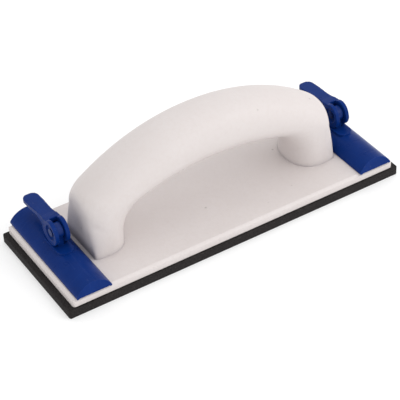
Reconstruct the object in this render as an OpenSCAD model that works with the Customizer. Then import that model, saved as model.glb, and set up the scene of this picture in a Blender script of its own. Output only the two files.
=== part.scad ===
// Hand sanding block: a base plate with an arched handle and a foam sole.
// At each end a cam lever draws a clamp bar down onto the end of an abrasive strip.
// Frame: X along the block, Y across it, Z up; the origin is the middle of the sole's underside.
// All sizes are in millimetres.

/* [Foam sole] */
// Length of the foam pad
pad_length = 230; // [200:1:280]
// Width of the foam pad
pad_width = 82; // [70:1:115]
// Thickness of the foam pad
pad_thickness = 5.8; // [4:0.1:12]
// Corner radius of the foam pad
pad_corner = 1.2; // [0.6:0.1:4]
// Thickness of the adhesive film that holds the pad
film_thickness = 0.3; // [0.1:0.05:0.5]
// Distance from the plate's edge to the film's edge
film_inset = 0.6; // [0.2:0.1:2]

/* [Base plate] */
// How far the pad stands past each end of the plate
overhang_end = 3.4; // [0:0.1:6]
// How far the pad stands past each long side of the plate
overhang_side = 1.2; // [0:0.1:3]
// Thickness of the plate
plate_thickness = 5.2; // [4.6:0.1:8]
// Corner radius of the plate
plate_corner = 1.8; // [1:0.1:5]
// Chamfer round the plate's top edge
plate_chamfer = 1.5; // [0.4:0.1:2]

/* [Handle] */
// Width of the handle
handle_width = 36; // [30:1:44]
// Height of the crest above the plate
crest_height = 64.6; // [57:0.1:77]
// Height of the end faces above the plate
shoulder_height = 33.5; // [28:0.5:38]
// Gap between the handle's end faces and the clamp bars
handle_gap = 2.7; // [1:0.1:10]
// Depth of each leg where it stands on the plate
leg_depth = 25; // [20:0.5:30]
// Height of the hand opening at its middle
opening_height = 31.8; // [26:0.1:38]
// Radius of the opening's ceiling, seen from the side
ceiling_radius = 220; // [170:1:400]
// Radius where the opening's ceiling turns down into the legs
opening_corner = 22; // [12:0.5:24]
// Radius of the handle's shoulders, before the end faces cut them
shoulder_radius = 17.5; // [12:0.5:22]
// How much the flat end faces cut off the rounded shoulders
end_cut = 2.6; // [1:0.1:4]
// How much further the feet would reach if the end faces did not cut them
foot_flare = 1.2; // [0:0.1:3]
// How much squarer the outer side of each foot is than the grip
foot_squareness = 2.4; // [0:0.1:4]
// Squareness of the handle's section, where 2 is an ellipse
section_power = 2.2; // [2:0.1:3]

/* [Handle screws] */
// Radius of a screw's shank
screw_radius = 1.9; // [1.5:0.1:2.4]
// Radius of a screw's countersunk head
screw_head_radius = 3.9; // [3:0.1:4.5]
// Overall length of a screw
screw_length = 22; // [16:1:26]
// Distance between the two screws in a leg
screw_spacing = 18; // [12:0.5:20]

/* [Clamp bars] */
// Width of a clamp bar
bar_width = 22.3; // [20:0.1:27]
// Distance from the plate's end to the bar
bar_inset = 2.4; // [1:0.1:5]
// How far the bar stands past each long side of the plate
bar_overhang = 0.9; // [0:0.1:1.2]
// Height of the bar's crest
bar_height = 7.9; // [7:0.1:9.2]
// Height of the upright lips along the bar's long edges
bar_lip = 1.1; // [0.6:0.1:1.5]
// Width of the foot of each lip
lip_width = 1.2; // [0.8:0.1:1.6]
// Thickness of the bar's walls
bar_wall = 1.7; // [1.4:0.1:2]
// How far the bar's end faces lean inwards at the crest
bar_end_lean = 0.8; // [0:0.1:3]
// Height of the notch under the bar's end faces
bar_notch = 0.4; // [0.2:0.1:1]
// Gap left between the closed bar's lips and the plate
closed_gap = 0.1; // [0.05:0.05:0.5]

/* [Cam seats] */
// Width of the flat seat that the cams press on
seat_width = 10; // [9.6:0.1:13]
// Length of the seat
seat_length = 24; // [20:0.5:34]
// Height of the seat above the bar's crest
seat_rise = 0.9; // [0.6:0.1:3]
// Corner radius of the seat
seat_corner = 4.5; // [2:0.5:5]
// Room above the plate for the closed spring
spring_room = 4.5; // [4.2:0.1:4.8]

/* [Cam levers] */
// Distance from the pivot to the seat with the lever closed
cam_radius = 8.7; // [7.8:0.1:9.4]
// Height that the bar rises by when the lever opens
cam_lift = 2; // [1:0.1:2.2]
// Angle that the lever swings through
lever_swing = 110; // [90:1:115]
// Height of the hub above the pivot
hub_top = 7.3; // [6.8:0.1:8]
// Width of the lever over its two cheeks
hub_width = 9.6; // [9.4:0.1:11.6]
// Gap between the tongue and each cheek
fork_clearance = 0.3; // [0.1:0.05:0.5]
// Gap round the tongue's rounded top as the lever swings
sweep_clearance = 0.6; // [0.3:0.05:0.8]
// Gap between the cam and its seat
cam_gap = 0.05; // [0.02:0.01:0.1]
// Distance from the pivot to the lever's tip
lever_reach = 36; // [30:0.5:38]
// Width of the lever at its neck
neck_width = 8.4; // [7.4:0.1:9]
// Width of the lever's paddle
paddle_width = 9.6; // [8.5:0.1:12]
// Thickness of the paddle
paddle_thickness = 2.4; // [2:0.1:3]
// Radius of the round recess in each cheek's outer face
recess_radius = 4.6; // [3.6:0.1:5.2]
// Depth of that recess
recess_depth = 1; // [0.6:0.1:1.2]

/* [Draw bolts] */
// Thickness of the tongue that carries the pivot pin
tongue_thickness = 4; // [3:0.1:4.2]
// Radius of the tongue's rounded top
tongue_radius = 4.7; // [4.2:0.1:5]
// Size of the shank along X
shank_x = 5.2; // [4.6:0.1:5.6]
// Size of the shank along Y
shank_y = 6.4; // [5.4:0.1:7]
// Gap on each side of the shank in the bar
shank_clearance = 0.2; // [0.1:0.05:0.4]
// Size of the square foot under the plate
foot_size = 16; // [13:0.5:19]
// Thickness of that foot
foot_thickness = 2.2; // [1.6:0.1:2.4]
// Gap round the foot and under it
foot_clearance = 0.2; // [0.1:0.05:0.4]

/* [Pins and springs] */
// Radius of the pivot pin
pin_radius = 1.5; // [1.2:0.1:2]
// Radial clearance of the pin in the tongue
pin_clearance = 0.05; // [0.02:0.01:0.1]
// Radius of the pin's head and of its push-on clip
pin_head_radius = 2.4; // [2.1:0.1:3.4]
// Thickness of the pin's head
pin_head_height = 0.8; // [0.4:0.1:1]
// Thickness of the push-on clip
clip_thickness = 0.4; // [0.3:0.05:0.5]
// Radius of the spring's wire
wire_radius = 0.4; // [0.3:0.05:0.5]
// Number of turns in the spring
spring_turns = 4; // [3:0.5:4.5]
// Gap inside the spring to the shank, and outside it to the bar
spring_clearance = 0.4; // [0.2:0.05:0.5]

/* [Hidden] */

LEFT = -1;
RIGHT = 1;
SLACK = 0.1;          // play round pieces that are fixed together
TOUCH = 0.01;         // hair's breadth between pressed or resting faces
OVER = 1;             // how far a cutter runs past what it cuts

// Levels, from the floor up
plate_bottom = pad_thickness + film_thickness;
plate_top = plate_bottom + plate_thickness;
bar_bottom = plate_top + closed_gap;
seat_top = bar_bottom + bar_height + seat_rise;
pivot_z = seat_top + cam_radius + cam_gap;
foot_top = plate_bottom + foot_clearance + foot_thickness;

// Plan sizes
plate_length = pad_length - 2 * overhang_end;
plate_width = pad_width - 2 * overhang_side;
clamp_x = plate_length / 2 - bar_inset - bar_width / 2;
end_x = clamp_x - bar_width / 2 - handle_gap;
leg_x = end_x - leg_depth / 2;
recess_room = foot_size + 2 * foot_clearance;

// Sizes that follow from the piece inside
fork_gap = tongue_thickness + 2 * fork_clearance;
coil_radius = norm([shank_x / 2, shank_y / 2]) + spring_clearance + wire_radius;
spring_pocket = coil_radius + wire_radius + spring_clearance;

// A rectangle with round corners, centred on the origin
module round_rectangle(length, width, radius) {
    square([length - 2 * radius, width], center = true);
    square([length, width - 2 * radius], center = true);
    for (x = [-1, 1], y = [-1, 1])
        translate([x * (length / 2 - radius), y * (width / 2 - radius)])
            circle(radius, $fn = 48);
}

// Turns an outline drawn in (Y, Z) into a solid of the given width, centred on X
module across_x(width) {
    rotate([90, 0, 90]) translate([0, 0, -width / 2]) linear_extrude(width) children();
}

// Turns an outline drawn in (X, Z) into a solid of the given length, centred on Y
module along_y(length) {
    rotate([90, 0, 0]) translate([0, 0, -length / 2]) linear_extrude(length) children();
}

// A round bar along X, centred on the origin
module rod_x(radius, length) {
    rotate([0, 90, 0]) cylinder(r = radius, h = length, center = true, $fn = 48);
}

// Places a clamp piece, drawn for the right-hand end, at either end of the block
module at_clamp(side) {
    translate([side * clamp_x, 0, 0]) mirror([side == LEFT ? 1 : 0, 0, 0]) children();
}

// ---- Sole and plate ----

module foam_pad() {
    color("#2b2a2b") linear_extrude(pad_thickness)
        round_rectangle(pad_length, pad_width, pad_corner);
}

module adhesive_film() {
    color("#8f8874") translate([0, 0, pad_thickness]) linear_extrude(film_thickness)
        round_rectangle(plate_length - 2 * film_inset, plate_width - 2 * film_inset, plate_corner);
}

// Outline of the plate's side: a strip with its two top corners cut off
module chamfered_strip(length) {
    half = length / 2;
    polygon([[-half, 0], [half, 0], [half, plate_thickness - plate_chamfer],
        [half - plate_chamfer, plate_thickness], [plate_chamfer - half, plate_thickness],
        [-half, plate_thickness - plate_chamfer]]);
}

module screw_places() {
    for (x = [-leg_x, leg_x], y = [-1, 1])
        translate([x, y * screw_spacing / 2, plate_bottom]) children();
}

module base_plate() {
    color("#e9e4e2") difference() {
        translate([0, 0, plate_bottom]) intersection() {
            linear_extrude(plate_thickness)
                round_rectangle(plate_length, plate_width, plate_corner);
            along_y(plate_width + OVER) chamfered_strip(plate_length);
            across_x(plate_length + OVER) chamfered_strip(plate_width);
        }
        for (side = [LEFT, RIGHT]) translate([side * clamp_x, 0, plate_bottom - OVER]) {
            translate([-recess_room / 2, -recess_room / 2, 0])
                cube([recess_room, recess_room, foot_top - plate_bottom + OVER]);
            translate([-shank_x / 2 - SLACK, -shank_y / 2 - SLACK, 0])
                cube([shank_x + 2 * SLACK, shank_y + 2 * SLACK, plate_thickness + 2 * OVER]);
        }
        screw_places() screw_body(SLACK, plate_thickness + OVER);
    }
}

// ---- Handle ----
// Each half of the handle's side view has an outer and an inner contour. Both are a wide arc,
// a corner arc and an upright, and each ring of the handle spans from one to the other.

// Radius and centre height of the crest's arc, which meets the shoulder arcs without a kink
// and puts the top of the end faces at the shoulder height.
outer_x = end_x + end_cut;
shoulder_x = outer_x - shoulder_radius;
shoulder_z = shoulder_height
    - sqrt(pow(shoulder_radius, 2) - pow(shoulder_radius - end_cut, 2));
crest_drop = crest_height - shoulder_radius;
crest_z = (crest_drop + shoulder_z - pow(shoulder_x, 2) / (crest_drop - shoulder_z)) / 2;
crest_radius = crest_height - crest_z;

// Centre of the opening's ceiling arc and of its corner arcs
inner_x = end_x - leg_depth;
corner_x = inner_x - opening_corner;
ceiling_z = opening_height - ceiling_radius;
corner_z = ceiling_z
    + sqrt(pow(ceiling_radius - opening_corner, 2) - pow(corner_x, 2));

GRIP_STEPS = 10;
CORNER_STEPS = 10;
LEG_STEPS = 6;
RING_POINTS = 32;

// Point on a contour at step i: a wide arc, then a corner arc, then an upright that may flare
function contour(i, arc_r, arc_z, turn_x, turn_z, turn_r, flare) =
    let (turn = atan2(turn_x, turn_z - arc_z), down = (i - GRIP_STEPS - CORNER_STEPS) / LEG_STEPS)
    i <= GRIP_STEPS
        ? let (a = turn * i / GRIP_STEPS) [arc_r * sin(a), arc_z + arc_r * cos(a)]
    : i <= GRIP_STEPS + CORNER_STEPS
        ? let (a = turn + (90 - turn) * (i - GRIP_STEPS) / CORNER_STEPS)
            [turn_x + turn_r * sin(a), turn_z + turn_r * cos(a)]
    : [turn_x + turn_r + flare * pow(down, 2), turn_z * (1 - down)];

function signed_power(x, p) = sign(x) * pow(abs(x), p);

// Ring of points between an outer and an inner contour point, its outer half made squarer
function ring(outer, inner, side, squarer) = [
    for (k = [0 : RING_POINTS - 1])
        let (
            a = 360 * k / RING_POINTS,
            power = section_power + (cos(a) > 0 ? squarer : 0),
            along = signed_power(cos(a), 2 / power),
            across = signed_power(sin(a), 2 / power),
            p = (outer + inner) / 2 + (outer - inner) / 2 * along
        )
        [side * p[0], across * handle_width / 2, p[1]]
];

HALF_STEPS = GRIP_STEPS + CORNER_STEPS + LEG_STEPS;

// The rings from the left foot over the crest to the right foot
function handle_rings() = [
    for (j = [-HALF_STEPS : HALF_STEPS])
        let (
            i = abs(j),
            down = max(0, (i - GRIP_STEPS - CORNER_STEPS) / LEG_STEPS),
            outer = contour(i, crest_radius, crest_z, shoulder_x, shoulder_z, shoulder_radius,
                foot_flare),
            inner = contour(i, ceiling_radius, ceiling_z, corner_x, corner_z, opening_corner, 0)
        )
        ring(outer, inner, j < 0 ? LEFT : RIGHT, foot_squareness * down)
];

// A closed skin over a row of rings
module skin(rings) {
    count = len(rings);
    n = len(rings[0]);
    points = [for (r = rings, p = r) p];
    walls = [
        for (i = [0 : count - 2], k = [0 : n - 1])
            let (a = i * n + k, b = i * n + (k + 1) % n)
            each [[a, b, b + n], [a, b + n, a + n]]
    ];
    first = [[for (k = [n - 1 : -1 : 0]) k]];
    last = [[for (k = [0 : n - 1]) (count - 1) * n + k]];
    polyhedron(points, concat(walls, first, last), convexity = 6);
}

module handle() {
    color("#ece7e5") difference() {
        translate([0, 0, plate_top]) intersection() {
            skin(handle_rings());
            translate([-end_x, -handle_width, 0])
                cube([2 * end_x, 2 * handle_width, crest_height + OVER]);
        }
        screw_places() cylinder(r = screw_radius + SLACK / 2, h = screw_length + OVER, $fn = 48);
    }
}

// A countersunk screw, head down, grown by the clearance given
module screw_body(clearance, length) {
    head = screw_head_radius - screw_radius;
    rotate_extrude($fn = 64) polygon([
        [0, clearance > 0 ? -OVER : 0.2],
        [screw_head_radius + clearance, clearance > 0 ? -OVER : 0.2],
        [screw_head_radius + clearance, 0.5],
        [screw_radius + clearance, head + 0.5],
        [screw_radius + clearance, length],
        [0, length]]);
}

module handle_screws() {
    drive = 2.2;
    color("#b9bcc2") screw_places() difference() {
        screw_body(0, screw_length);
        for (turn = [0, 90]) rotate([0, 0, turn])
            translate([-drive, -0.35, 0]) cube([2 * drive, 0.7, 1.6]);
    }
}

// ---- Clamp bars ----

arch_radius = (pow(bar_width / 2, 2) + pow(bar_height - bar_lip, 2))
    / (2 * (bar_height - bar_lip));

// A solid arch along Y, its ends leaning inwards
module arch(radius, width, length, lean) {
    half = length / 2;
    intersection() {
        translate([0, 0, bar_height - arch_radius]) rotate([90, 0, 0])
            cylinder(r = radius, h = length, center = true, $fn = 128);
        across_x(width) polygon([[-half, 0], [half, 0],
            [half - lean, bar_height], [lean - half, bar_height]]);
    }
}

module clamp_bar(side) {
    length = plate_width + 2 * bar_overhang;
    ceiling = spring_room - closed_gap;
    seat_height = bar_height + seat_rise;
    color("#123a8c") at_clamp(side) translate([0, 0, bar_bottom]) difference() {
        union() {
            difference() {
                arch(arch_radius, bar_width, length, bar_end_lean);
                translate([0, 0, -TOUCH])
                    arch(arch_radius - bar_wall, bar_width - 2 * bar_wall,
                        length - 2 * bar_wall, bar_end_lean);
                translate([lip_width - bar_width / 2, -length / 2 - OVER, -OVER])
                    cube([bar_width - 2 * lip_width, length + 2 * OVER, bar_notch + OVER]);
            }
            translate([0, 0, ceiling]) linear_extrude(seat_height - ceiling)
                round_rectangle(seat_width, seat_length, seat_corner);
            // Landing that the spring's top coil presses on
            translate([0, 0, ceiling]) cylinder(r = coil_radius, h = bar_wall, $fn = 96);
        }
        translate([-shank_x / 2 - shank_clearance, -shank_y / 2 - shank_clearance, 0])
            cube([shank_x + 2 * shank_clearance, shank_y + 2 * shank_clearance,
                seat_height + OVER]);
        translate([0, 0, -OVER]) cylinder(r = spring_pocket, h = ceiling + OVER, $fn = 96);
    }
}

// ---- Cam levers ----
// A lever is drawn closed, about its pivot, with its paddle towards +Y. Angles round a cam
// start straight down and open towards -Y.

// Outward direction at an angle, and the direction of travel round the cam
function outward(a) = [-sin(a), -cos(a)];
function onward(a) = [-cos(a), sin(a)];

// The cam is an involute, so the bar rises evenly with the lever's angle. Its contact with the
// seat lies a little behind the pivot, which holds the closed lever down.
cam_offset = cam_lift / (lever_swing * PI / 180);
function cam_point(a) = (cam_radius - cam_lift * a / lever_swing) * outward(a)
    - cam_offset * onward(a);

cam_low = cam_radius - cam_lift;

// The hub's front grows from the open cam's radius to the height of the hub's top
function hub_radius(a) = cam_low
    + (hub_top - cam_low) * min(1, (a - lever_swing) / (180 - lever_swing));

module cheek_outline() {
    polygon([
        for (a = [-75 : 5 : -5]) [cam_offset, 0] + cam_radius * outward(a),
        for (i = [0 : 24]) cam_point(lever_swing * i / 24),
        for (i = [0 : 28]) let (a = lever_swing + (245 - lever_swing) * i / 28)
            hub_radius(a) * outward(a)
    ]);
}

// Side view of the arm, which falls towards a thin rounded tip
module arm_outline() {
    tip = lever_reach;
    low = hub_top - 4.6 - paddle_thickness;
    polygon([
        for (a = [180 : 5 : 210]) hub_top * outward(a),
        [7, hub_top - 1.4], [10.5, hub_top - 2], [15, hub_top - 2.5], [22, hub_top - 3.1],
        [tip - 2, hub_top - 4.3], [tip - 0.4, hub_top - 4.6], [tip, low + paddle_thickness / 2],
        [tip - 0.3, low + 0.5], [tip - 1.2, low],
        [17, low + 1.2], [13, low], [10.6, low - 2], [9.4, low - 4.6],
        [cam_offset, 0] + cam_radius * outward(-55), [0, 0]
    ]);
}

// Plan view of the arm, in (X, Y)
module arm_plan() {
    tip_r = paddle_width / 2;
    half = [
        [hub_width / 2, -hub_top], [hub_width / 2, 8], [hub_width / 2 - 0.3, 9.3],
        [neck_width / 2, 12.5], [neck_width / 2, 15], [tip_r, lever_reach - 11],
        for (a = [0 : 10 : 90]) [tip_r * cos(a), lever_reach - tip_r + tip_r * sin(a)]
    ];
    mirrored = [for (i = [len(half) - 2 : -1 : 0]) [-half[i][0], half[i][1]]];
    polygon(concat(half, mirrored));
}

// Side view of the slot between the cheeks, open at the top, which clears the tongue as the
// lever swings round it
module tongue_sweep() {
    r = tongue_radius + sweep_clearance;
    reach = cam_radius + 4;
    circle(r, $fn = 64);
    polygon([[r, 0], [r, -reach], [-reach, -reach], [-reach, reach], [r - 1, reach], [r - 1, 0]]);
}

module cam_lever(side) {
    color("#16429b") at_clamp(side) translate([0, 0, pivot_z]) difference() {
        union() {
            across_x(hub_width) cheek_outline();
            intersection() {
                across_x(paddle_width + hub_width) arm_outline();
                translate([0, 0, -cam_radius]) linear_extrude(4 * cam_radius) arm_plan();
            }
        }
        across_x(fork_gap) tongue_sweep();
        rod_x(pin_radius + TOUCH, hub_width + OVER);
        for (face = [-1, 1]) translate([face * hub_width / 2, 0, 0])
            rod_x(recess_radius, 2 * recess_depth);
    }
}

cheek_floor = hub_width / 2 - recess_depth;

module pivot_pin(side) {
    tail = clip_thickness + 0.4;
    color("#c4c7cc") at_clamp(side) translate([0, 0, pivot_z]) {
        translate([-tail / 2, 0, 0]) rod_x(pin_radius, 2 * cheek_floor + tail);
        translate([cheek_floor + pin_head_height / 2, 0, 0])
            rod_x(pin_head_radius, pin_head_height);
    }
}

module pin_clip(side) {
    color("#9da1a8") at_clamp(side)
        translate([-cheek_floor - clip_thickness / 2 - TOUCH, 0, pivot_z]) difference() {
            rod_x(pin_head_radius, clip_thickness);
            rod_x(pin_radius + TOUCH, clip_thickness + OVER);
        }
}

// ---- Draw bolts and springs ----

module draw_bolt(side) {
    shoulder = seat_top - 0.5;
    color("#123a8c") at_clamp(side) difference() {
        union() {
            translate([-foot_size / 2, -foot_size / 2, foot_top - foot_thickness])
                cube([foot_size, foot_size, foot_thickness]);
            translate([-shank_x / 2, -shank_y / 2, foot_top - OVER])
                cube([shank_x, shank_y, shoulder - foot_top + OVER]);
            translate([0, 0, pivot_z]) across_x(tongue_thickness) {
                circle(tongue_radius, $fn = 64);
                translate([-shank_y / 2, shoulder - OVER - pivot_z])
                    square([shank_y, pivot_z - shoulder + OVER]);
            }
        }
        translate([0, 0, pivot_z]) rod_x(pin_radius + pin_clearance, tongue_thickness + OVER);
    }
}

WIRE_SIDES = 10;
TURN_STEPS = 24;

// A coil spring that stands on the plate, round the shank, and reaches the bar's ceiling
module return_spring(side) {
    base = wire_radius + TOUCH;
    rise = spring_room - 2 * base;
    turns = min(spring_turns, rise / (2.2 * wire_radius));
    steps = floor(turns * TURN_STEPS);
    rings = [
        for (i = [0 : steps])
            let (a = 360 * i / TURN_STEPS, z = base + rise * i / steps)
            [for (k = [0 : WIRE_SIDES - 1])
                let (b = 360 * k / WIRE_SIDES, r = coil_radius + wire_radius * cos(b))
                [r * cos(a), r * sin(a), z + wire_radius * sin(b)]]
    ];
    color("#b4b8be") at_clamp(side) translate([0, 0, plate_top]) skin(rings);
}

foam_pad();
adhesive_film();
base_plate();
handle();
handle_screws();
clamp_bar(LEFT);  // left_clamp_bar
cam_lever(LEFT);  // left_cam_lever
pivot_pin(LEFT);  // left_pivot_pin
pin_clip(LEFT);  // left_pin_clip
draw_bolt(LEFT);  // left_draw_bolt
return_spring(LEFT);  // left_return_spring
clamp_bar(RIGHT);  // right_clamp_bar
cam_lever(RIGHT);  // right_cam_lever
pivot_pin(RIGHT);  // right_pivot_pin
pin_clip(RIGHT);  // right_pin_clip
draw_bolt(RIGHT);  // right_draw_bolt
return_spring(RIGHT);  // right_return_spring
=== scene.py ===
"""Looks for a hand sanding block: a white plate and handle on a foam sole, with a blue cam-lever
clamp across each end. Lengths in the maker functions are in millimetres."""
import math

import bmesh
import bpy
from mathutils import Matrix, Vector


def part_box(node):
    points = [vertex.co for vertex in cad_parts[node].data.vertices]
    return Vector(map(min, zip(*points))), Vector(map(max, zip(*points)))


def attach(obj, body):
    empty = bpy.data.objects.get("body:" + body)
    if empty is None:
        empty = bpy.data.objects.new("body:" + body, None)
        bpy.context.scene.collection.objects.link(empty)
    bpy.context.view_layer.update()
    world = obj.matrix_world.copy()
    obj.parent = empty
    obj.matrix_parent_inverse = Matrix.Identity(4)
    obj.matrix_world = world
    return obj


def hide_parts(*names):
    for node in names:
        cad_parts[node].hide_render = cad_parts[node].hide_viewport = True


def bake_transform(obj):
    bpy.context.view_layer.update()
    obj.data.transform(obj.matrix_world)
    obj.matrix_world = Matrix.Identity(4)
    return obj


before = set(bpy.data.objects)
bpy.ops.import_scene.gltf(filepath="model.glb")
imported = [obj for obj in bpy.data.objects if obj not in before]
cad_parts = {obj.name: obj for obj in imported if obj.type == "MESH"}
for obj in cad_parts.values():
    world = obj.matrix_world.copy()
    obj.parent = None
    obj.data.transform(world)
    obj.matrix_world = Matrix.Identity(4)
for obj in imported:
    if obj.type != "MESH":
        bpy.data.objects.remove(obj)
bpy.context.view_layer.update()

MM = 0.001
SIDES = ("left", "right")


# ---- Shader building ----


def add_node(tree, kind, inputs=None, **settings):
    """Adds a node; inputs may hold plain values or the sockets to link from."""
    node = tree.nodes.new(kind)
    for name, value in settings.items():
        setattr(node, name, value)
    for name, value in (inputs or {}).items():
        if isinstance(value, bpy.types.NodeSocket):
            tree.links.new(value, node.inputs[name])
        else:
            node.inputs[name].default_value = value
    return node


def math_node(tree, operation, a, b=0.0, clamp=False):
    return add_node(tree, "ShaderNodeMath", {0: a, 1: b}, operation=operation, use_clamp=clamp).outputs[0]


def ramp(tree, value, low, high):
    """Maps value from low..high to 0..1, clamped; low may be above high."""
    node = add_node(tree, "ShaderNodeMapRange", {"Value": value, "From Min": low, "From Max": high})
    return node.outputs["Result"]


def mix_colour(tree, factor, a, b):
    node = add_node(tree, "ShaderNodeMix", data_type="RGBA")
    for socket, value in ((node.inputs[0], factor), (node.inputs[6], a), (node.inputs[7], b)):
        if isinstance(value, bpy.types.NodeSocket):
            tree.links.new(value, socket)
        else:
            socket.default_value = value
    return node.outputs[2]


def new_group(name, inputs, outputs):
    """A shader node group with the named sockets; gives the group and its two end nodes."""
    group = bpy.data.node_groups.new(name, "ShaderNodeTree")
    for label, kind, default in inputs:
        socket = group.interface.new_socket(label, in_out="INPUT", socket_type=kind)
        if default is not None:
            socket.default_value = default
    for label, kind in outputs:
        group.interface.new_socket(label, in_out="OUTPUT", socket_type=kind)
    return group, group.nodes.new("NodeGroupInput"), group.nodes.new("NodeGroupOutput")


def place_group(tree, group, inputs):
    return add_node(tree, "ShaderNodeGroup", inputs, node_tree=group)


def colour(r, g, b):
    return (r, g, b, 1.0)


# ---- Shared effects ----


def mottle_group():
    """Soft clouds of tone, as in moulded plastic or foam, between -1 and 1 times Amount."""
    group, start, end = new_group(
        "cloudy_tone",
        [("Vector", "NodeSocketVector", None), ("Scale", "NodeSocketFloat", 60.0),
         ("Amount", "NodeSocketFloat", 0.1)],
        [("Tone", "NodeSocketFloat")])
    noise = add_node(group, "ShaderNodeTexNoise", {
        "Vector": start.outputs["Vector"], "Scale": start.outputs["Scale"],
        "Detail": 4.0, "Roughness": 0.6})
    centred = math_node(group, "SUBTRACT", noise.outputs["Fac"], 0.5)
    tone = math_node(group, "MULTIPLY", centred, start.outputs["Amount"])
    group.links.new(tone, end.inputs["Tone"])
    return group


def speck_group():
    """Sparse small round specks or pinholes. Rarity 0 gives many and 1 gives none."""
    group, start, end = new_group(
        "specks",
        [("Vector", "NodeSocketVector", None), ("Scale", "NodeSocketFloat", 300.0),
         ("Rarity", "NodeSocketFloat", 0.9), ("Size", "NodeSocketFloat", 0.2)],
        [("Mask", "NodeSocketFloat")])
    cells = add_node(group, "ShaderNodeTexVoronoi", {
        "Vector": start.outputs["Vector"], "Scale": start.outputs["Scale"]})
    chance = add_node(group, "ShaderNodeSeparateColor", {"Color": cells.outputs["Color"]})
    chosen = math_node(group, "GREATER_THAN", chance.outputs["Red"], start.outputs["Rarity"])
    near = math_node(group, "SUBTRACT", start.outputs["Size"], cells.outputs["Distance"])
    dot = math_node(group, "DIVIDE", near, start.outputs["Size"], clamp=True)
    group.links.new(math_node(group, "MULTIPLY", dot, chosen), end.inputs["Mask"])
    return group


def edge_group():
    """Outer edges as a mask: where the rounded and the true normal part, broken up by noise."""
    group, start, end = new_group(
        "edge_wear_and_highlight",
        [("Vector", "NodeSocketVector", None), ("Radius", "NodeSocketFloat", 0.0008),
         ("Amount", "NodeSocketFloat", 0.5)],
        [("Mask", "NodeSocketFloat")])
    rounded = add_node(group, "ShaderNodeBevel", {"Radius": start.outputs["Radius"]}, samples=4)
    true = add_node(group, "ShaderNodeNewGeometry")
    same = add_node(group, "ShaderNodeVectorMath", {
        0: rounded.outputs["Normal"], 1: true.outputs["Normal"]}, operation="DOT_PRODUCT")
    part = math_node(group, "SUBTRACT", 1.0, same.outputs["Value"])
    sharp = ramp(group, part, 0.02, 0.25)
    edge_patches = add_node(group, "ShaderNodeTexNoise", {
        "Vector": start.outputs["Vector"], "Scale": 350.0, "Detail": 3.0})
    broken = math_node(group, "MULTIPLY", sharp, ramp(group, edge_patches.outputs["Fac"], 0.35, 0.65))
    group.links.new(math_node(group, "MULTIPLY", broken, start.outputs["Amount"]), end.inputs["Mask"])
    return group


def scratch_group():
    """Fine hairline scratches in two directions, as a mask."""
    group, start, end = new_group(
        "hairlines",
        [("Vector", "NodeSocketVector", None), ("Amount", "NodeSocketFloat", 0.3)],
        [("Mask", "NodeSocketFloat")])
    lines = []
    for turn, stretch in ((0.5, (60.0, 2600.0, 60.0)), (-0.9, (2300.0, 50.0, 80.0))):
        placed = add_node(group, "ShaderNodeMapping", {
            "Vector": start.outputs["Vector"], "Rotation": (0.3, 0.2, turn), "Scale": stretch})
        streak = add_node(group, "ShaderNodeTexNoise", {
            "Vector": placed.outputs["Vector"], "Scale": 1.0, "Detail": 1.0})
        lines.append(ramp(group, streak.outputs["Fac"], 0.68, 0.74))
    both = math_node(group, "MAXIMUM", lines[0], lines[1])
    group.links.new(math_node(group, "MULTIPLY", both, start.outputs["Amount"]), end.inputs["Mask"])
    return group


def grain_group():
    """Fine moulded grain as a height, around zero."""
    group, start, end = new_group(
        "moulded_grain",
        [("Vector", "NodeSocketVector", None), ("Scale", "NodeSocketFloat", 1400.0)],
        [("Height", "NodeSocketFloat")])
    fine = add_node(group, "ShaderNodeTexNoise", {
        "Vector": start.outputs["Vector"], "Scale": start.outputs["Scale"],
        "Detail": 2.0, "Roughness": 0.5})
    group.links.new(math_node(group, "SUBTRACT", fine.outputs["Fac"], 0.5), end.inputs["Height"])
    return group


def make_painted_gap_shade():
    """Painted shade in narrow gaps: a mask where less than half of the surroundings can be seen."""
    group, start, end = new_group(
        "painted_shade_in_gaps",
        [("Distance", "NodeSocketFloat", 0.005), ("Amount", "NodeSocketFloat", 0.8)],
        [("Mask", "NodeSocketFloat")])
    seen = add_node(group, "ShaderNodeAmbientOcclusion", {
        "Distance": start.outputs["Distance"]}, samples=8)
    hidden = ramp(group, seen.outputs["AO"], 0.62, 0.12)
    group.links.new(math_node(group, "MULTIPLY", hidden, start.outputs["Amount"]),
                    end.inputs["Mask"])
    return group


MOTTLE = mottle_group()
GAP_SHADE = make_painted_gap_shade()
SPECKS = speck_group()
EDGES = edge_group()
SCRATCHES = scratch_group()
GRAIN = grain_group()


# ---- Materials ----


def new_material(name, **fixed):
    """An empty material with its shader; fixed values go on the shader's own sockets."""
    material = bpy.data.materials.new(name)
    material.use_nodes = True
    tree = material.node_tree
    shader = tree.nodes["Principled BSDF"]
    for label, value in fixed.items():
        shader.inputs[label.replace("_", " ")].default_value = value
    where = add_node(tree, "ShaderNodeTexCoord").outputs["Object"]
    return material, tree, shader, where


def bump(tree, shader, *layers):
    """Stacks (height, strength, distance) layers into the shader's normal."""
    normal = None
    for height, strength, distance in layers:
        inputs = {"Height": height, "Strength": strength, "Distance": distance}
        if normal is not None:
            inputs["Normal"] = normal
        normal = add_node(tree, "ShaderNodeBump", inputs).outputs["Normal"]
    tree.links.new(normal, shader.inputs["Normal"])


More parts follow.
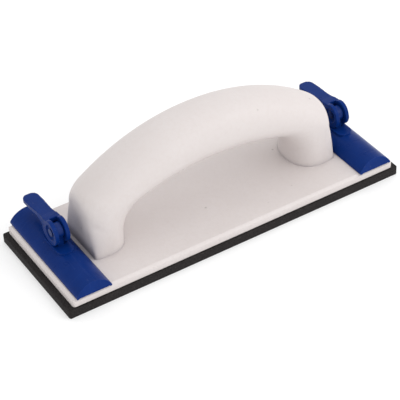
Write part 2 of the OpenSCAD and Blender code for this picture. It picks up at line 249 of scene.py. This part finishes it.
def white_plastic(name, seed):
    """Warm off-white moulding: cloudy tone, a few dark pinholes, soft satin grain."""
    material, tree, shader, where = new_material(
        name, Specular_IOR_Level=0.35, IOR=1.49)
    moved = add_node(tree, "ShaderNodeMapping", {"Vector": where, "Location": (seed, seed, 0)})
    vector = moved.outputs["Vector"]
    cloud = place_group(tree, MOTTLE, {"Vector": vector, "Scale": 28.0, "Amount": 1.0})
    fleck = place_group(tree, MOTTLE, {"Vector": vector, "Scale": 420.0, "Amount": 1.0})
    pits = place_group(tree, SPECKS, {
        "Vector": vector, "Scale": 95.0, "Rarity": 0.78, "Size": 0.09})
    edge_patches = place_group(tree, EDGES, {"Vector": vector, "Radius": 0.0009, "Amount": 0.15})
    lines = place_group(tree, SCRATCHES, {"Vector": vector, "Amount": 0.5})
    grain = place_group(tree, GRAIN, {"Vector": vector, "Scale": 900.0})
    warm = mix_colour(tree, ramp(tree, cloud.outputs["Tone"], -0.25, 0.25),
                      colour(0.664, 0.610, 0.596), colour(0.698, 0.648, 0.637))
    grainy = mix_colour(tree, ramp(tree, fleck.outputs["Tone"], -0.05, 0.45),
                        warm, colour(0.655, 0.596, 0.577))
    pitted = mix_colour(tree, math_node(tree, "MULTIPLY", pits.outputs["Mask"], 0.6),
                        grainy, colour(0.25, 0.22, 0.21))
    worn = mix_colour(tree, edge_patches.outputs["Mask"], pitted, colour(0.80, 0.77, 0.75))
    # Painted shade: gaps and corners that see little of the room darken toward a dark blue-grey, as if
    # shadowed and tinted by the nearby blue parts.
    gap_darkening = place_group(tree, GAP_SHADE, {"Distance": 0.009, "Amount": 0.85})
    gap_darkened = mix_colour(tree, gap_darkening.outputs["Mask"], worn, colour(0.055, 0.055, 0.10))
    tree.links.new(gap_darkened, shader.inputs["Base Color"])
    dull = math_node(tree, "MULTIPLY_ADD", cloud.outputs["Tone"], 0.25)
    dull.node.inputs[2].default_value = 0.46
    tree.links.new(math_node(tree, "ADD", dull, lines.outputs["Mask"]), shader.inputs["Roughness"])
    dip = math_node(tree, "MULTIPLY", pits.outputs["Mask"], -1.0)
    bump(tree, shader, (grain.outputs["Height"], 0.35, 0.00012), (dip, 0.6, 0.0004),
         (cloud.outputs["Tone"], 0.25, 0.0006))
    return material


def blue_plastic(name, seed, gloss):
    """Deep blue glossy moulding with hairlines, faint dust, and paler edges that are partly rubbed wear
    and partly a painted edge highlight.
    """
    material, tree, shader, where = new_material(
        name, Specular_IOR_Level=gloss, IOR=1.5)
    moved = add_node(tree, "ShaderNodeMapping", {"Vector": where, "Location": (seed, 0, seed)})
    vector = moved.outputs["Vector"]
    cloud = place_group(tree, MOTTLE, {"Vector": vector, "Scale": 90.0, "Amount": 1.0})
    dust = place_group(tree, SPECKS, {
        "Vector": vector, "Scale": 700.0, "Rarity": 0.93, "Size": 0.22})
    edge_patches = place_group(tree, EDGES, {"Vector": vector, "Radius": 0.0005, "Amount": 0.6})
    lines = place_group(tree, SCRATCHES, {"Vector": vector, "Amount": 0.6})
    grain = place_group(tree, GRAIN, {"Vector": vector, "Scale": 1500.0})
    base = mix_colour(tree, ramp(tree, cloud.outputs["Tone"], -0.25, 0.25),
                      colour(0.0016, 0.0205, 0.140), colour(0.0026, 0.0265, 0.170))
    # Paler edges: partly rubbed wear, partly a painted highlight along the rims, such as the seat's
    # outline.
    rubbed_and_highlit = mix_colour(tree, edge_patches.outputs["Mask"], base, colour(0.035, 0.065, 0.24))
    marked = mix_colour(tree, math_node(tree, "MULTIPLY", lines.outputs["Mask"], 0.25),
                        rubbed_and_highlit, colour(0.06, 0.10, 0.30))
    dusty = mix_colour(tree, math_node(tree, "MULTIPLY", dust.outputs["Mask"], 0.35),
                       marked, colour(0.22, 0.24, 0.34))
    tree.links.new(dusty, shader.inputs["Base Color"])
    dull = math_node(tree, "MULTIPLY_ADD", cloud.outputs["Tone"], 0.2)
    dull.node.inputs[2].default_value = 0.30
    rough = math_node(tree, "ADD", dull, math_node(tree, "MULTIPLY", lines.outputs["Mask"], 0.3))
    tree.links.new(rough, shader.inputs["Roughness"])
    bump(tree, shader, (grain.outputs["Height"], 0.3, 0.00008), (cloud.outputs["Tone"], 0.3, 0.0003))
    return material


def foam_rubber():
    """Charcoal closed-cell foam: burst cells on the skin, pale dust in a few of them."""
    material, tree, shader, where = new_material(
        "charcoal_foam", Specular_IOR_Level=0.15, IOR=1.5)
    cloud = place_group(tree, MOTTLE, {"Vector": where, "Scale": 70.0, "Amount": 1.0})
    dust = place_group(tree, SPECKS, {
        "Vector": where, "Scale": 900.0, "Rarity": 0.90, "Size": 0.35})
    cells = add_node(tree, "ShaderNodeTexVoronoi", {"Vector": where, "Scale": 1300.0})
    wall = ramp(tree, cells.outputs["Distance"], 0.15, 0.6)
    skin = mix_colour(tree, ramp(tree, cloud.outputs["Tone"], -0.25, 0.25),
                      colour(0.0195, 0.0165, 0.0165), colour(0.031, 0.027, 0.027))
    celled = mix_colour(tree, wall, colour(0.010, 0.009, 0.009), skin)
    dusty = mix_colour(tree, math_node(tree, "MULTIPLY", dust.outputs["Mask"], 0.3),
                       celled, colour(0.20, 0.19, 0.18))
    tree.links.new(dusty, shader.inputs["Base Color"])
    tree.links.new(ramp(tree, cloud.outputs["Tone"], -3.0, 0.8), shader.inputs["Roughness"])
    bump(tree, shader, (wall, 0.6, 0.0002), (cloud.outputs["Tone"], 0.4, 0.0008))
    return material


def plated_steel(name, dark, light, worn):
    """Plated steel: faintly cloudy, with fine hairlines and paler worn edges."""
    material, tree, shader, where = new_material(name, Metallic=1.0)
    cloud = place_group(tree, MOTTLE, {"Vector": where, "Scale": 500.0, "Amount": 1.0})
    edge_patches = place_group(tree, EDGES, {"Vector": where, "Radius": 0.0002, "Amount": 0.5})
    lines = place_group(tree, SCRATCHES, {"Vector": where, "Amount": 0.5})
    base = mix_colour(tree, ramp(tree, cloud.outputs["Tone"], -0.25, 0.25),
                      dark, light)
    tree.links.new(mix_colour(tree, edge_patches.outputs["Mask"], base, worn), shader.inputs["Base Color"])
    rough = math_node(tree, "MULTIPLY_ADD", lines.outputs["Mask"], 0.3)
    rough.node.inputs[2].default_value = 0.28
    tree.links.new(rough, shader.inputs["Roughness"])
    bump(tree, shader, (lines.outputs["Mask"], 0.2, 0.00003), (cloud.outputs["Tone"], 0.2, 0.00005))
    return material


def spring_steel():
    """Darker drawn wire and strip, oiled, with a brown cast."""
    material, tree, shader, where = new_material("spring_steel", Metallic=1.0)
    cloud = place_group(tree, MOTTLE, {"Vector": where, "Scale": 700.0, "Amount": 1.0})
    lines = place_group(tree, SCRATCHES, {"Vector": where, "Amount": 0.5})
    base = mix_colour(tree, ramp(tree, cloud.outputs["Tone"], -0.25, 0.25),
                      colour(0.30, 0.28, 0.27), colour(0.46, 0.45, 0.45))
    tree.links.new(mix_colour(tree, lines.outputs["Mask"], base, colour(0.62, 0.61, 0.60)),
                   shader.inputs["Base Color"])
    rough = math_node(tree, "MULTIPLY_ADD", cloud.outputs["Tone"], 0.3)
    rough.node.inputs[2].default_value = 0.34
    tree.links.new(rough, shader.inputs["Roughness"])
    bump(tree, shader, (lines.outputs["Mask"], 0.3, 0.00003))
    return material


def glue_film():
    """Amber adhesive film with trapped bubbles."""
    material, tree, shader, where = new_material("glue_film", Specular_IOR_Level=0.4)
    cloud = place_group(tree, MOTTLE, {"Vector": where, "Scale": 200.0, "Amount": 1.0})
    bubbles = place_group(tree, SPECKS, {
        "Vector": where, "Scale": 500.0, "Rarity": 0.7, "Size": 0.3})
    base = mix_colour(tree, ramp(tree, cloud.outputs["Tone"], -0.25, 0.25),
                      colour(0.24, 0.20, 0.13), colour(0.33, 0.29, 0.20))
    tree.links.new(mix_colour(tree, bubbles.outputs["Mask"], base, colour(0.45, 0.41, 0.33)),
                   shader.inputs["Base Color"])
    tree.links.new(ramp(tree, cloud.outputs["Tone"], -0.8, 0.9), shader.inputs["Roughness"])
    bump(tree, shader, (bubbles.outputs["Mask"], 0.5, 0.0001))
    return material


HANDLE_WHITE = white_plastic("handle_off_white", 0.0)
PLATE_WHITE = white_plastic("plate_off_white", 0.31)
BAR_BLUE = blue_plastic("clamp_bar_blue", 0.0, 0.08)
LEVER_BLUE = blue_plastic("lever_blue", 0.17, 0.07)
BOLT_BLUE = blue_plastic("draw_bolt_blue", 0.23, 0.16)
FOAM = foam_rubber()
STEEL = plated_steel("zinc_plated_steel", colour(0.50, 0.50, 0.52), colour(0.66, 0.67, 0.69),
                     colour(0.70, 0.70, 0.74))
BLUED_STEEL = plated_steel("blued_steel", colour(0.012, 0.035, 0.16), colour(0.025, 0.06, 0.22),
                           colour(0.07, 0.10, 0.27))
SPRING_STEEL = spring_steel()
GLUE = glue_film()


# ---- Mesh building ----


def to_object(bm, name, material):
    """Puts a finished bmesh in the scene, smooth-shaded, with its sharp edges kept."""
    mesh = bpy.data.meshes.new(name)
    bm.to_mesh(mesh)
    bm.free()
    mesh.shade_smooth()
    mesh.materials.append(material)
    made = bpy.data.objects.new(name, mesh)
    bpy.context.collection.objects.link(made)
    return made


def mark_sharp(bm, degrees):
    for edge in bm.edges:
        edge.smooth = not (edge.is_manifold and edge.calc_face_angle(0.0) > math.radians(degrees))


def merged_copy(node):
    """A clean copy of a CAD node's mesh: doubles merged and flat faces joined up."""
    bm = bmesh.new()
    bm.from_mesh(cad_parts[node].data)
    bmesh.ops.remove_doubles(bm, verts=bm.verts[:], dist=0.000004)
    bmesh.ops.dissolve_limit(bm, angle_limit=math.radians(1.0), verts=bm.verts[:],
                             edges=bm.edges[:], use_dissolve_boundaries=False)
    return bm


def softened(node, name, material, width, degrees=32, segments=3):
    """A copy of a CAD node with its sharp edges rounded over by width, in millimetres."""
    bm = merged_copy(node)
    sharp = [e for e in bm.edges if e.is_manifold and e.calc_face_angle(0.0) > math.radians(degrees)]
    bmesh.ops.bevel(bm, geom=sharp, offset=width * MM, offset_type="OFFSET", segments=segments,
                    profile=0.5, affect="EDGES", clamp_overlap=True, material=-1)
    mark_sharp(bm, 40)
    made = to_object(bm, name, material)
    shade = made.modifiers.new("even shading", "WEIGHTED_NORMAL")
    shade.keep_sharp = True
    return made


def build_lever(side):
    """A lever with all its edges softly rounded, as they come out of the mould."""
    node = side + "_cam_lever"
    lever = to_object(merged_copy(node), side + "_lever_moulding", LEVER_BLUE)
    even = lever.modifiers.new("even mesh", "REMESH")
    even.mode, even.voxel_size, even.use_smooth_shade = "VOXEL", 0.00024, True
    soften = lever.modifiers.new("soft edges", "SMOOTH")
    soften.factor, soften.iterations = 0.5, 6
    stand_for(lever, node, side + "_lever")


def stand_for(piece, node, body):
    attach(piece, body)
    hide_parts(node)
    return piece


# ---- Foam sole ----


def build_sole():
    """The sole: a foam slab with rounded upright corners and softened edges."""
    low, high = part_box("foam_pad")
    size = (high - low) / MM
    bm = bmesh.new()
    bmesh.ops.create_cube(bm, size=1.0)
    bmesh.ops.scale(bm, vec=size, verts=bm.verts[:])
    upright = [e for e in bm.edges if abs((e.verts[0].co - e.verts[1].co).z) > 1.0]
    bmesh.ops.bevel(bm, geom=upright, offset=1.2, offset_type="OFFSET", segments=4, profile=0.5,
                    affect="EDGES", clamp_overlap=True, material=-1)
    rims = [e for e in bm.edges if len(e.link_faces) == 2
            and any(abs(f.normal.z) > 0.9 for f in e.link_faces)
            and any(abs(f.normal.z) < 0.1 for f in e.link_faces)]
    bmesh.ops.bevel(bm, geom=rims, offset=0.45, offset_type="OFFSET", segments=3, profile=0.5,
                    affect="EDGES", clamp_overlap=True, material=-1)
    bmesh.ops.translate(bm, vec=(low + high) / 2 / MM, verts=bm.verts[:])
    bmesh.ops.scale(bm, vec=(MM, MM, MM), verts=bm.verts[:])
    mark_sharp(bm, 40)
    sole = to_object(bm, "foam_sole", FOAM)
    return stand_for(sole, "foam_pad", "block")


# ---- Handle ----

HANDLE_LOW, HANDLE_HIGH = (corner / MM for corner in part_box("handle"))
END_X = HANDLE_HIGH.x
CREST = HANDLE_HIGH.z - HANDLE_LOW.z
HALF_WIDTH = HANDLE_HIGH.y
LEG_DEPTH = 25.0
SHOULDER_HEIGHT, SHOULDER_RADIUS, END_CUT, FOOT_FLARE = 33.5, 17.5, 2.6, 1.2
OPENING_HEIGHT, CEILING_RADIUS, OPENING_CORNER = 31.8, 220.0, 22.0
GRIP_RINGS, CORNER_RINGS, LEG_RINGS, RING_POINTS = 14, 12, 12, 64


def outer_curve():
    """Crest radius and centre height, then the shoulder arc's centre."""
    x = END_X + END_CUT - SHOULDER_RADIUS
    z = SHOULDER_HEIGHT - math.sqrt(SHOULDER_RADIUS ** 2 - (SHOULDER_RADIUS - END_CUT) ** 2)
    drop = CREST - SHOULDER_RADIUS
    middle = (drop + z - x ** 2 / (drop - z)) / 2
    return CREST - middle, middle, x, z


def inner_curve():
    """Ceiling radius and centre height, then the corner arc's centre."""
    x = END_X - LEG_DEPTH - OPENING_CORNER
    middle = OPENING_HEIGHT - CEILING_RADIUS
    z = middle + math.sqrt((CEILING_RADIUS - OPENING_CORNER) ** 2 - x ** 2)
    return CEILING_RADIUS, middle, x, z


def contour(step, curve, corner, flare):
    """Point (x, z) on a contour: a wide arc, then a corner arc, then an upright that may flare."""
    radius, middle, x, z = curve
    turn = math.atan2(x, z - middle)
    if step <= GRIP_RINGS:
        a = turn * step / GRIP_RINGS
        return radius * math.sin(a), middle + radius * math.cos(a)
    if step <= GRIP_RINGS + CORNER_RINGS:
        a = turn + (math.pi / 2 - turn) * (step - GRIP_RINGS) / CORNER_RINGS
        return x + corner * math.sin(a), z + corner * math.cos(a)
    down = (step - GRIP_RINGS - CORNER_RINGS) / LEG_RINGS
    return x + corner + flare * down ** 2, z * (1 - down)


def soft_limit(x, limit, blend):
    """x, flattened smoothly against limit over blend on either side of it."""
    over = abs(x) - (limit - blend)
    if over <= 0:
        return x
    flat = limit if over >= 2 * blend else abs(x) - over ** 2 / (4 * blend)
    return math.copysign(flat, x)


def signed_power(value, power):
    return math.copysign(abs(value) ** power, value)


def shape_ring(verts, station):
    """Moves one ring of vertices to its station along the handle, from -1 to 1 end to end."""
    steps = GRIP_RINGS + CORNER_RINGS + LEG_RINGS
    step = abs(station)
    side = -1 if station < 0 else 1
    down = max(0.0, (step - GRIP_RINGS - CORNER_RINGS) / LEG_RINGS)
    outer = contour(step, outer_curve(), SHOULDER_RADIUS, FOOT_FLARE)
    inner = contour(step, inner_curve(), OPENING_CORNER, 0.0)
    blend = 2.4 - 1.2 * down
    for k, vert in enumerate(verts):
        a = 2 * math.pi * k / len(verts)
        power = 2.2 + (2.4 * down if math.cos(a) > 0 else 0.0)
        along = signed_power(math.cos(a), 2 / power)
        across = signed_power(math.sin(a), 2 / power)
        x = (outer[0] + inner[0]) / 2 + (outer[0] - inner[0]) / 2 * along
        z = (outer[1] + inner[1]) / 2 + (outer[1] - inner[1]) / 2 * along
        vert.co = (soft_limit(side * x, END_X, blend), across * HALF_WIDTH,
                   HANDLE_LOW.z + z)
    return steps


def build_handle():
    """The handle, drawn out ring by ring from the left foot to the right one."""
    steps = GRIP_RINGS + CORNER_RINGS + LEG_RINGS
    bm = bmesh.new()
    bmesh.ops.create_circle(bm, cap_ends=True, segments=RING_POINTS, radius=1.0)
    bm.faces.ensure_lookup_table()
    cap = bm.faces[0]
    shape_ring([loop.vert for loop in cap.loops], -steps)
    for station in range(1 - steps, steps + 1):
        grown = bmesh.ops.extrude_discrete_faces(bm, faces=[cap])
        cap = grown["faces"][0]
        shape_ring([loop.vert for loop in cap.loops], station)
    bmesh.ops.contextual_create(bm, geom=[e for e in bm.edges if e.is_boundary])
    bmesh.ops.recalc_face_normals(bm, faces=bm.faces[:])
    bmesh.ops.scale(bm, vec=(MM, MM, MM), verts=bm.verts[:])
    mark_sharp(bm, 60)
    handle = to_object(bm, "handle_grip", HANDLE_WHITE)
    return stand_for(handle, "handle", "block")


# ---- Spring ----


def build_spring(side):
    """The coil under a bar, between the plate and the bar, copied from its CAD mesh."""
    node = side + "_return_spring"
    spring = to_object(merged_copy(node), side + "_lift_spring", SPRING_STEEL)
    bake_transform(spring)
    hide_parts(node)


def finish_cad_nodes():
    """Pieces that keep their CAD mesh get their finish."""
    finishes = {"adhesive_film": GLUE, "handle_screws": STEEL}
    for side in SIDES:
        finishes[side + "_pin_clip"] = BLUED_STEEL
    for node, material in finishes.items():
        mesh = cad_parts[node].data
        mesh.materials.clear()
        mesh.materials.append(material)


# ---- Room, light and camera ----


def build_room():
    """A plain white floor that runs out of sight."""
    bm = bmesh.new()
    bmesh.ops.create_grid(bm, x_segments=1, y_segments=1, size=4.0)
    material, tree, shader, where = new_material(
        "studio_floor", Roughness=0.9, Emission_Strength=0.42)
    shader.inputs["Base Color"].default_value = colour(0.6, 0.6, 0.6)
    shader.inputs["Emission Color"].default_value = colour(1.0, 1.0, 1.0)
    floor = to_object(bm, "studio_floor", material)


def area_light(name, place, target, size, power, tint=(1, 1, 1)):
    light = bpy.data.lights.new(name, "AREA")
    light.shape = "RECTANGLE"
    light.size, light.size_y = size
    light.energy = power
    light.color = tint
    lamp = bpy.data.objects.new(name, light)
    lamp.location = place
    lamp.rotation_euler = (Vector(target) - Vector(place)).to_track_quat("-Z", "Y").to_euler()
    bpy.context.collection.objects.link(lamp)


def build_light():
    """White all round but dimmer from the left, with a soft key from the right of the near side."""
    world = bpy.data.worlds.new("studio")
    bpy.context.scene.world = world
    world.use_nodes = True
    tree = world.node_tree
    sky = tree.nodes["Background"]
    way = add_node(tree, "ShaderNodeTexCoord").outputs["Generated"]
    side = add_node(tree, "ShaderNodeSeparateXYZ", {"Vector": way}).outputs["X"]
    fall = add_node(tree, "ShaderNodeMapRange", {
        "Value": side, "From Min": -0.9, "From Max": 0.3, "To Min": 0.8, "To Max": 1.0})
    tree.links.new(fall.outputs["Result"], sky.inputs["Strength"])
    sky.inputs["Color"].default_value = (1.0, 1.0, 1.0, 1.0)
    area_light("key_softbox", (0.8, -0.8, 0.9), (0, 0, 0.03), (1.0, 0.8), 4.5)
    area_light("top_softbox", (0.2, 0.2, 1.3), (0, 0, 0.03), (1.2, 0.8), 1.5)
    area_light("low_fill", (0.1, -1.3, 0.3), (0, 0, 0.02), (1.2, 0.5), 0.8)


def build_camera():
    """A long lens from the left of the near side, a little above."""
    turn, tilt, roll = (math.radians(a) for a in (-31.135, 39.005, -2.361))
    back = Vector((math.sin(turn) * math.cos(tilt), -math.cos(turn) * math.cos(tilt), math.sin(tilt)))
    level = Vector((0, 0, 1)).cross(back).normalized()
    up = back.cross(level)
    right = math.cos(roll) * level + math.sin(roll) * up
    up = back.cross(right)
    place = back * 0.93906 - right * 0.00252 + up * 0.0041
    data = bpy.data.cameras.new("camera")
    data.lens, data.sensor_width = 139.91, 36.0
    data.clip_start, data.clip_end = 0.05, 50.0
    camera = bpy.data.objects.new("camera", data)
    camera.matrix_world = Matrix.Translation(place) @ Matrix((right, up, back)).transposed().to_4x4()
    bpy.context.collection.objects.link(camera)
    bpy.context.scene.camera = camera


def main():
    build_sole()
    stand_for(softened("base_plate", "plate_moulding", PLATE_WHITE, 0.8), "base_plate", "block")
    build_handle()
    for side in SIDES:
        stand_for(softened(side + "_clamp_bar", side + "_bar_moulding", BAR_BLUE, 0.35),
                  side + "_clamp_bar", side + "_bar")
        build_lever(side)
        stand_for(softened(side + "_draw_bolt", side + "_bolt_moulding", BOLT_BLUE, 0.4),
                  side + "_draw_bolt", "block")
        stand_for(softened(side + "_pivot_pin", side + "_hinge_pin", BLUED_STEEL, 0.15),
                  side + "_pivot_pin", side + "_lever")
        build_spring(side)
    finish_cad_nodes()
    build_room()
    build_light()
    build_camera()
    bpy.context.scene.view_settings.view_transform = "Standard"


main()
